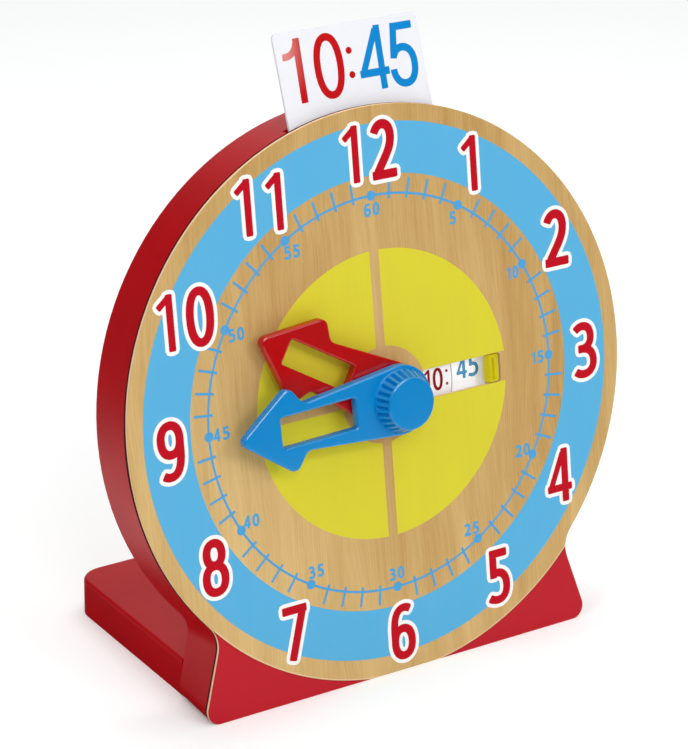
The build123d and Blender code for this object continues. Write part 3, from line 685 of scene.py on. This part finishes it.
@dataclass(frozen=True)
class Lettering:
    """A style of drawn digits, in mm."""

    stroke: float
    rounding: float = 0.5  # radius of a stroke's corners
    swell: float = 0.0  # how much an outline stands out round its digit
    steps: int = 8  # straight pieces to a curve
    corner_steps: int = 2
    dots: Point = (0.29, 0.68)  # the colon's dots, as shares of its height
    digit_w: float = 3.3
    digit_h: float = 5.4
    space: float = 0.8

    def centre_line(self, stroke: Stroke, size: Point) -> list[Vector]:
        """Points of a stroke's centre line.

        Args:
            stroke: The stroke.
            size: The digit's width and height in mm.

        Returns:
            The points in mm, from the digit's lower left corner.
        """
        room = Vector((size[0] - self.stroke, size[1] - self.stroke))
        edge = self.stroke / 2
        knots = [Vector((edge + x * room.x, edge + y * room.y)) for x, y in stroke.points]
        if len(knots) == 2:
            return knots
        line = [knots[0]]
        for k in range(0, len(knots) - 1, 3):
            line += interpolate_bezier(*knots[k:k + 4], self.steps + 1)[1:]
        return [point.to_2d() for point in line]

    def pads(self, stroke: Stroke, size: Point) -> list[list[Vector]]:
        """Convex pads that together cover a stroke.

        Args:
            stroke: The stroke.
            size: The digit's width and height in mm.

        Returns:
            The outline of each pad, anticlockwise.
        """
        line = self.centre_line(stroke, size)
        half = self.stroke * stroke.weight / 2 - self.rounding
        closed = (line[0] - line[-1]).length < 0.01
        if not closed:
            reach = half if stroke.square else -self.rounding
            line[0] = line[0] + (line[0] - line[1]).normalized() * reach
            line[-1] = line[-1] + (line[-1] - line[-2]).normalized() * reach
        sides = []
        for k, point in enumerate(line):
            before = line[k - 1] if k else (line[-2] if closed else point)
            after = line[k + 1] if k + 1 < len(line) else (line[1] if closed else point)
            along = (after - before).normalized()
            sides.append(Vector((-along.y, along.x)) * half)
        quads = [[a - sa, b - sb, b + sb, a + sa]
                 for a, sa, b, sb in zip(line, sides, line[1:], sides[1:])]
        return [self.grown(quad) for quad in quads]

    def grown(self, outline: list[Vector]) -> list[Vector]:
        """Grow a convex pad outwards, with round corners.

        Args:
            outline: The pad's outline, anticlockwise.

        Returns:
            The grown outline.
        """
        radius = self.rounding + self.swell
        out = []
        for k, corner in enumerate(outline):
            before, after = outline[k - 1], outline[(k + 1) % len(outline)]
            normals = [Vector((edge.y, -edge.x)).normalized() for edge in (corner - before, after - corner)]
            turn = normals[0].angle_signed(normals[1], 0.0)
            for part in range(self.corner_steps + 1):
                swing = Matrix.Rotation(-turn * part / self.corner_steps, 2)
                out.append(corner + swing @ normals[0] * radius)
        return out

    def digit(self, name: str, size: Point) -> Mesh:
        """Flat mesh of a digit, in mm, with its lower left corner at the origin.

        Args:
            name: A key of DIGITS, or a colon.
            size: The digit's width and height in mm.

        Returns:
            The mesh, which is shared by every digit of that style and size.
        """
        key = f"digit_{name}_{size[0]:g}_{size[1]:g}_{self.stroke:g}_{self.swell:g}"
        known = bpy.data.meshes.get(key)
        if known is not None:
            return known
        if name == ":":
            return self.colon(key, size)
        return flat_union(key, [pad for stroke in DIGITS[name] for pad in self.pads(stroke, size)])

    def colon(self, key: str, size: Point) -> Mesh:
        """Flat mesh of two dots.

        Args:
            key: The mesh's name.
            size: The dots' width and the colon's height in mm.

        Returns:
            The mesh.
        """
        bm = bmesh.new()
        radius = size[0] / 2
        for share in self.dots:
            bmesh.ops.create_circle(bm, cap_ends=True, segments=20, radius=radius + self.swell,
                                    matrix=Matrix.Translation((radius, share * size[1], 0)))
        return mesh_from(key, bm)

    def write(self, piece: "Piece", text: str, place: Matrix) -> None:
        """Write a line of digits.

        Args:
            piece: The piece that takes the digits.
            text: The digits, with or without a colon.
            place: The place of the line's middle.
        """
        widths = {"1": 0.6 * self.digit_w, ":": 0.95 * self.stroke}
        parts = [widths.get(sign, self.digit_w) for sign in text]
        x = -(sum(parts) + self.space * (len(parts) - 1)) / 2
        for sign, part in zip(text, parts):
            digit = self.digit(sign, (part, self.digit_h))
            piece.add(digit, place @ Matrix.Translation((x, -self.digit_h / 2, 0)))
            x += part + self.space


def mesh_from(name: str, bm: bmesh.types.BMesh) -> Mesh:
    """Turn a finished bmesh into a mesh, and free it.

    Args:
        name: The mesh's name.
        bm: The bmesh.

    Returns:
        The mesh.
    """
    mesh = bpy.data.meshes.new(name)
    bm.to_mesh(mesh)
    bm.free()
    return mesh


def flat_union(key: str, pads: list[list[Vector]]) -> Mesh:
    """Flat mesh of the area that overlapping pads cover together.

    Args:
        key: The mesh's name.
        pads: The outlines of the pads.

    Returns:
        A mesh of triangles that face up.
    """
    points: list[Vector] = []
    faces = []
    for pad in pads:
        faces.append(list(range(len(points), len(points) + len(pad))))
        points.extend(pad)
    corners, _, triangles, _, _, sources = delaunay_2d_cdt(points, [], faces, 1, 1e-4)
    bm = bmesh.new()
    made = [bm.verts.new((corner.x, corner.y, 0)) for corner in corners]
    for triangle, source in zip(triangles, sources):
        if source:
            bm.faces.new([made[k] for k in triangle])
    loose = [vert for vert in bm.verts if not vert.link_faces]
    bmesh.ops.delete(bm, geom=loose, context="VERTS")
    for face in bm.faces:
        face.normal_update()
        if face.normal.z < 0:
            face.normal_flip()
    return mesh_from(key, bm)


# ---- pieces
def placed(name: str, data: bpy.types.ID) -> Object:
    """Make an object and put it into the scene.

    Args:
        name: Its name.
        data: Its mesh, lamp or camera.

    Returns:
        The object.
    """
    made = bpy.data.objects.new(name, data)
    bpy.context.scene.collection.objects.link(made)
    return made


class Piece:
    """One printed piece of the object: flat shapes in mm, which become a film on a plane."""

    def __init__(self, name: str, body: str, slot: str, finish: Finish, plane: Matrix) -> None:
        """Start an empty piece.

        Args:
            name: The object's name.
            body: The CAD body that it rides on.
            slot: The record's material slot that it belongs to; it is kept but not used.
            finish: Its finish.
            plane: The plane that it lies on, whose Z is out of it.
        """
        self.name, self.body, self.slot, self.finish, self.plane = name, body, slot, finish, plane
        self.bm = bmesh.new()

    def add(self, mesh: Mesh, place: Matrix = Matrix()) -> None:
        """Add a copy of a flat mesh.

        Args:
            mesh: The mesh.
            place: Its place on the plane.
        """
        copy = mesh.copy()
        copy.transform(place)
        self.bm.from_mesh(copy)
        bpy.data.meshes.remove(copy)

    def finish_object(self) -> None:
        """Thicken the shapes to a film, set it on its plane and its body, and dress it."""
        bm = self.bm
        faces = bmesh.ops.extrude_face_region(bm, geom=bm.faces[:])["geom"]
        top = [item for item in faces if isinstance(item, bmesh.types.BMVert)]
        bmesh.ops.translate(bm, vec=(0, 0, FILM), verts=top)
        bmesh.ops.recalc_face_normals(bm, faces=bm.faces[:])
        bmesh.ops.transform(bm, matrix=self.plane, verts=bm.verts[:])
        mesh = mesh_from(self.name, bm)
        piece = placed(self.name, mesh)
        mesh.materials.append(self.finish.material())
        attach(piece, self.body)
        log.info("%s: %d faces on %s", self.name, len(mesh.polygons), self.body)


def ring_mesh(radii: Point, segments: int = 180) -> Mesh:
    """Flat ring about the origin.

    Args:
        radii: Its inner and its outer radius in mm.
        segments: The sides of each circle.

    Returns:
        The mesh, which faces up.
    """
    bm = bmesh.new()
    edges = []
    for radius in radii:
        circle = bmesh.ops.create_circle(bm, segments=segments, radius=radius)["verts"]
        edges += list({edge for vert in circle for edge in vert.link_edges})
    bmesh.ops.bridge_loops(bm, edges=edges)
    bmesh.ops.recalc_face_normals(bm, faces=bm.faces[:])
    if bm.faces[:][0].normal.z < 0:
        bmesh.ops.reverse_faces(bm, faces=bm.faces[:])
    return mesh_from("ring_blank", bm)


def sector_mesh(ring: Mesh, side: tuple[int, int], corner: Point) -> Mesh:
    """What a ring has past an upright and a level line.

    Args:
        ring: The ring's mesh.
        side: 1 to keep what is right of the upright line and over the level one, -1 for the other side.
        corner: Where the two lines cross, in mm.

    Returns:
        The mesh that is left.
    """
    bm = bmesh.new()
    bm.from_mesh(ring)
    for point, normal in (((corner[0], 0, 0), (-side[0], 0, 0)), ((0, corner[1], 0), (0, -side[1], 0))):
        bmesh.ops.bisect_plane(bm, geom=bm.verts[:] + bm.edges[:] + bm.faces[:], plane_co=point,
                               plane_no=normal, clear_outer=True)
    return mesh_from("sector_blank", bm)


@dataclass
class DialPrint:
    """Everything that is printed on the dial, in mm."""

    lift: float = 0.006  # the lowest layer, over the wood
    layer_step: float = 0.034  # from each layer to the next
    ring: Point = (89.7, 110.5)
    quadrant: Point = (20.0, 59.6)
    left_corner: Point = (-2.6, 2.2)  # where the left sectors start, from the dial's middle
    right_corner: Point = (1.8, 6.3)
    track_r: float = 81.7
    track_w: float = 0.95
    tick: Point = (79.7, 88.1)
    tick_w: float = 1.0
    dot_r: float = 2.0
    label_r: float = 76.1
    round_sides: int = 240
    dot_sides: int = 24
    numeral: Lettering = Lettering(3.55, 0.55)
    outline: Lettering = Lettering(3.55, 0.55, 1.6)
    label: Lettering = Lettering(1.1, 0.2, 0.0, 4, 1)
    numerals: tuple[Placed, ...] = (
        ("1", -11.5, 87.5, 7.1, 23.5), ("2", 1.5, 87.4, 11.5, 23.8), ("1", 44.1, 74.9, 7.1, 23.3),
        ("2", 82.6, 36.7, 11.7, 23.8), ("3", 94.1, -13.8, 12.2, 24.2), ("4", 77.4, -65.1, 12.9, 23.6),
        ("5", 44.1, -101.6, 11.5, 23.9), ("6", -4.8, -113.7, 11.8, 24.2), ("7", -55.4, -101.0, 11.5, 23.5),
        ("8", -90.0, -65.1, 12.1, 23.9), ("9", -104.8, -14.2, 11.9, 24.3), ("1", -99.8, 36.7, 7.1, 23.2),
        ("0", -87.4, 36.2, 12.4, 24.1), ("1", -61.8, 75.1, 7.1, 23.2), ("1", -47.8, 75.1, 7.1, 23.4),
    )

    def layer(self, name: str, finish: Finish, depth: int = 0) -> Piece:
        """Start a layer that lies over a number of others."""
        height = self.lift + depth * self.layer_step
        return Piece(name, "case", "dial_board", finish, AXES.plane((0, 0, height)))

    def build_ring(self) -> None:
        """Print the wide ring under the numerals."""
        piece = self.layer("print_hour_ring", Finish.RING_INK)
        piece.add(ring_mesh(self.ring, self.round_sides))
        piece.finish_object()

    def build_quadrants(self) -> None:
        """Print the four sectors round the hands."""
        piece = self.layer("print_quadrants", Finish.YELLOW_INK)
        ring = ring_mesh(self.quadrant)
        for side in ((1, 1), (1, -1), (-1, 1), (-1, -1)):
            u, v = self.right_corner if side[0] > 0 else self.left_corner
            piece.add(sector_mesh(ring, side, (u, side[1] * v)))
        piece.finish_object()

    def build_track(self) -> None:
        """Print the minute track with its labels, and its ticks and dots over it."""
        track = self.layer("print_minute_track", Finish.TRACK_INK)
        half = self.track_w / 2
        track.add(ring_mesh((self.track_r - half, self.track_r + half), self.round_sides))
        marks = self.layer("print_minute_marks", Finish.TRACK_INK, 1)
        low, high = self.tick
        bar = Matrix.Translation((0, (low + high) / 2, 0)) @ Matrix.Diagonal((self.tick_w, high - low, 1, 1))
        dot = Matrix.Translation((0, self.track_r, 0))
        for minute in range(60):
            turn = Matrix.Rotation(-radians(6 * minute), 4, "Z")
            if minute % 5:
                bmesh.ops.create_grid(marks.bm, x_segments=1, y_segments=1, size=0.5, matrix=turn @ bar)
            else:
                bmesh.ops.create_circle(marks.bm, cap_ends=True, segments=self.dot_sides, radius=self.dot_r,
                                        matrix=turn @ dot)
                middle = turn @ Vector((0, self.label_r, 0))
                self.label.write(track, str(minute or 60), Matrix.Translation(middle))
        track.finish_object()
        marks.finish_object()

    def build_numerals(self) -> None:
        """Print the hour numerals over their white outlines, the second digits apart from the first."""
        kinds = (("print_numeral_outlines", Finish.WHITE_INK, self.outline, (1, 2)),
                 ("print_numerals", Finish.RED_INK, self.numeral, (3, 3)))
        for name, finish, style, depths in kinds:
            for half, depth in enumerate(depths):
                piece = self.layer(f"{name}_{half + 1}", finish, depth)
                for k, (digit, u, v, *size) in enumerate(self.numerals):
                    second = k > 0 and abs(self.numerals[k - 1][2] - v) < 1
                    if second == bool(half):
                        piece.add(style.digit(digit, size), Matrix.Translation((u, v, 0)))
                piece.finish_object()

    def build(self) -> None:
        """Print every layer."""
        self.build_ring()
        self.build_quadrants()
        self.build_track()
        self.build_numerals()


@dataclass
class TimeDiscs:
    """The labels on the two discs behind the time window, in mm."""

    hour_n: float = -2.7
    minute_n: float = -6.3
    hour_place: Point = (26.9, 0.1)  # middle of the hour that shows
    minute_place: Point = (44.9, 1.35)
    # painted shadow: a grey ring at the hour disc's rim for the shadow it casts on the minute disc
    hour_rule: Point = (34.45, 34.95)
    before: int = 9  # labels on each disc before the one that shows
    hour_style: Lettering = Lettering(1.3, 0.2, 0.0, 5, 1, (0.22, 0.78), 4.9, 9.6, 1.4)
    minute_style: Lettering = Lettering(1.5, 0.25, 0.0, 5, 1, (0.29, 0.68), 5.35, 9.6, 0.4)

    def print_labels(self, piece: Piece, style: Lettering, place: Point, texts: list[str]) -> None:
        """Print a disc's twelve labels.

        Args:
            piece: The piece that takes them.
            style: Their lettering.
            place: Middle of the label that shows.
            texts: The labels, clockwise.
        """
        for k, text in enumerate(texts):
            turn = Matrix.Rotation(-radians(30 * (self.before - k)), 4, "Z")
            style.write(piece, text, turn @ Matrix.Translation((*place, 0)))
        piece.finish_object()

    def build(self) -> None:
        """Print the hours with a painted shadow ring round them, and the minutes."""
        hours, minutes = AXES.plane((0, 0, self.hour_n)), AXES.plane((0, 0, self.minute_n))
        piece = Piece("print_hour_labels", "hour_display", "white_board", Finish.HOUR_INK, hours)
        self.print_labels(piece, self.hour_style, self.hour_place, [f"{hour}:" for hour in range(1, 13)])
        # the grey ring is a painted shadow of the hour disc's edge
        shadow_ring = Piece("painted_hour_disc_shadow", "hour_display", "white_board", Finish.RULE_INK, hours)
        shadow_ring.add(ring_mesh(self.hour_rule))
        shadow_ring.finish_object()
        piece = Piece("print_minute_labels", "minute_arbor", "white_board", Finish.MINUTE_INK, minutes)
        self.print_labels(piece, self.minute_style, self.minute_place, [f"{5 * k:02d}" for k in range(12)])


@dataclass
class CardPrint:
    """The time on the loose card, in mm."""

    lean: float = 12.6  # degrees back from the dial
    foot: Triple = (0.7, 108.41, -2.65)
    slant: float = 0.035
    style: Lettering = Lettering(3.05, 0.15, 0.0, 12, 1)
    hour: tuple[Placed, ...] = (
        ("1 with tail", -30.6, 13.7, 7.4, 25.4), ("0", -18.2, 13.3, 13.5, 25.9),
        (":", -2.9, 14.2, 2.8, 24.6))
    minute: tuple[Placed, ...] = (
        ("4 pointed", 2.2, 13.7, 13.7, 25.4), ("5 with slope", 16.4, 12.9, 13.2, 25.8))

    def build(self) -> None:
        """Print the hour and the minutes."""
        plane = AXES.plane(self.foot) @ Matrix.Rotation(-radians(self.lean), 4, "X")
        sheared = Matrix.Identity(4)
        sheared[0][1] = self.slant
        for name, digits, finish in (("print_card_hour", self.hour, Finish.CARD_RED),
                                     ("print_card_minutes", self.minute, Finish.CARD_BLUE)):
            piece = Piece(name, "card", "card_stock", finish, plane)
            for digit, x, y, *size in digits:
                piece.add(self.style.digit(digit, size), sheared @ Matrix.Translation((x, y, 0)))
            piece.finish_object()


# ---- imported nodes, whose shapes stay as they are
def dress_nodes(record: dict[str, Any]) -> None:
    """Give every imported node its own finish, or else the one that has its slot's name.

    Args:
        record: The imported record.
    """
    for part in record["subparts"]:
        name, slot = part["node"], part["material_slot"]
        materials = frame["nodes"][name].data.materials
        materials.clear()
        materials.append(OWN_FINISH.get(name, Finish[slot.upper()]).material())
        log.info("%s: %s", name, slot)


# ---- studio
@dataclass
class Lamp:
    """One soft lamp, aimed at the middle of the object."""

    name: str
    place: Triple
    watts: float
    size: Point

    def build(self, target: Vector) -> None:
        """Make the lamp.

        Args:
            target: What it is aimed at.
        """
        data = bpy.data.lights.new(self.name, "AREA")
        data.shape, data.energy = "RECTANGLE", self.watts
        data.size, data.size_y = self.size
        lamp = placed(self.name, data)
        lamp.location = self.place
        lamp.rotation_mode = "QUATERNION"
        lamp.rotation_quaternion = (Vector(self.place) - target).to_track_quat("Z", "Y")


@dataclass
class Studio:
    """Floor, lamps, world and camera, in metres and degrees."""

    azimuth: float = -33.1576
    elevation: float = 22.9691
    roll: float = -0.93916
    focal_px: float = 3026.7
    offset_mm: Triple = (16.2763, 8.0092, 1215.715)  # the dial's middle from the view's axis, and its depth
    floor_half: float = 4.0
    floor_pale: Colour = srgb(247, 249, 249)
    floor_dark: Colour = srgb(44, 44, 44)  # the floor in gloss, where it is shaded
    floor_glow: float = 0.14
    shaded_front: Point = (-0.3, -0.75)  # from where to where the shading grows, along Y
    shaded_beside: tuple[Point, Point] = ((-0.075, -0.09), (-0.126, -0.114))  # a strip, along X
    shaded_beyond: Point = (-0.22, -0.32)
    fill: float = 0.46
    gloss_least: float = 0.06  # what gloss always finds in the world
    behind_x: Point = (-0.15, 0.45)  # where gloss finds the white at the right rear
    behind_y: Point = (-0.2, 0.6)
    card_way: Triple = (-0.15, -0.33, 0.93)  # a pale card overhead that only gloss finds
    card_edge: Point = (0.85, 0.93)
    card_glow: float = 9.0
    lamps: tuple[Lamp, ...] = (
        Lamp("overhead_softbox", (0.25, 0.3, 1.5), 11.5, (1.5, 1.1)),
        Lamp("front_softbox", (0.45, -1.5, 1.0), 7.8, (0.8, 0.8)),
        Lamp("edge_light", (-0.55, -1.25, 1.15), 3.8, (0.34, 0.2)),
        Lamp("side_strip", (-1.1, -0.35, 0.9), 2.2, (0.3, 0.9)),
    )

    def build_camera(self) -> None:
        """Set the camera from its solved angles and its place before the dial."""
        a, e, r = radians(self.azimuth), radians(self.elevation), radians(self.roll)
        back = Vector((sin(a) * cos(e), -cos(a) * cos(e), sin(e)))
        level = (-back).cross(Vector((0, 0, 1))).normalized()
        down = (-back).cross(level)
        right = cos(r) * level + sin(r) * down
        lower = cos(r) * down - sin(r) * level
        view = Matrix((right, -lower, back)).transposed()
        x, y, depth = (part * MM for part in self.offset_mm)
        data = bpy.data.cameras.new("camera")
        data.sensor_width = 36.0
        data.lens = self.focal_px / max(IMAGE_W, IMAGE_H) * data.sensor_width
        data.clip_start, data.clip_end = 0.05, 50.0
        camera = placed("camera", data)
        camera.matrix_world = (Matrix.Translation(AXES.centre - x * right - y * lower + depth * back)
                               @ view.to_4x4())
        bpy.context.scene.camera = camera

    def build_floor(self) -> None:
        """Make the pale floor, which takes the object's shadow and meets the white behind it."""
        bm = bmesh.new()
        bmesh.ops.create_grid(bm, x_segments=1, y_segments=1, size=self.floor_half)
        floor = placed("studio_floor", mesh_from("studio_floor", bm))
        material = bpy.data.materials.new("floor_white")
        material.use_nodes = True
        graph = Graph(material.node_tree)
        graph.tree.nodes.clear()
        path = graph.add("LightPath").outputs
        x, y, _ = graph.add("SeparateXYZ", {0: graph.add("TexCoord").outputs["Object"]}).outputs
        mirrored = graph.most(path["Is Glossy Ray"], path["Is Transmission Ray"])
        left, right = self.shaded_beside
        beside = graph.times(graph.step(x, *left), graph.step(x, *right))
        aside = graph.most(beside, graph.step(x, *self.shaded_beyond))
        unlit = graph.times(mirrored, graph.most(graph.step(y, *self.shaded_front), aside))
        tone = graph.blend(unlit, self.floor_pale, self.floor_dark)
        matte = graph.add("BsdfDiffuse", {"Color": tone}).outputs[0]
        seen = graph.most(path["Is Camera Ray"], graph.minus(mirrored, unlit))
        glow = graph.add("Emission", {"Color": WHITE, "Strength": graph.times(seen, self.floor_glow)})
        both = graph.add("AddShader", {0: matte, 1: glow.outputs[0]}).outputs[0]
        graph.add("OutputMaterial", {"Surface": both})
        floor.data.materials.append(material)

    def build_world(self) -> None:
        """Light the scene all round, show white behind it and give gloss its own surroundings."""
        world = bpy.data.worlds.new("studio")
        bpy.context.scene.world = world
        world.use_nodes = True
        graph = Graph(world.node_tree)
        graph.tree.nodes.clear()
        path = graph.add("LightPath").outputs
        glossy = path["Is Glossy Ray"]
        ray = graph.add("TexCoord").outputs["Generated"]
        x, y, _ = graph.add("SeparateXYZ", {0: ray}).outputs
        behind = graph.times(graph.step(x, *self.behind_x), graph.step(y, *self.behind_y))
        toward = graph.add("VectorMath", {0: ray, 1: self.card_way}, operation="DOT_PRODUCT")
        card = graph.step(toward.outputs["Value"], *self.card_edge, 0, self.card_glow)
        mirrored = graph.plus(graph.step(behind, 0, 1, self.gloss_least, 1), card)
        level = graph.most(graph.step(glossy, 0, 1, self.fill, 0), graph.times(glossy, mirrored))
        shown = graph.most(path["Is Camera Ray"], path["Is Transmission Ray"])
        light = graph.add("Background", {"Color": WHITE, "Strength": graph.most(shown, level)})
        graph.add("OutputWorld", {"Surface": light.outputs[0]})

    def build(self) -> None:
        """Make the whole studio."""
        self.build_camera()
        self.build_floor()
        self.build_world()
        for lamp in self.lamps:
            lamp.build(AXES.centre)
        bpy.context.scene.view_settings.view_transform = "Standard"
        log.info("studio: %d lamps", len(self.lamps))


def main() -> None:
    """Build the clock and its studio."""
    logging.basicConfig(level=logging.INFO, format="%(message)s")
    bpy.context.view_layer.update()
    Studio().build()
    dress_nodes(frame["record"])
    DialPrint().build()
    TimeDiscs().build()
    CardPrint().build()


if __name__ == "__main__":
    main()
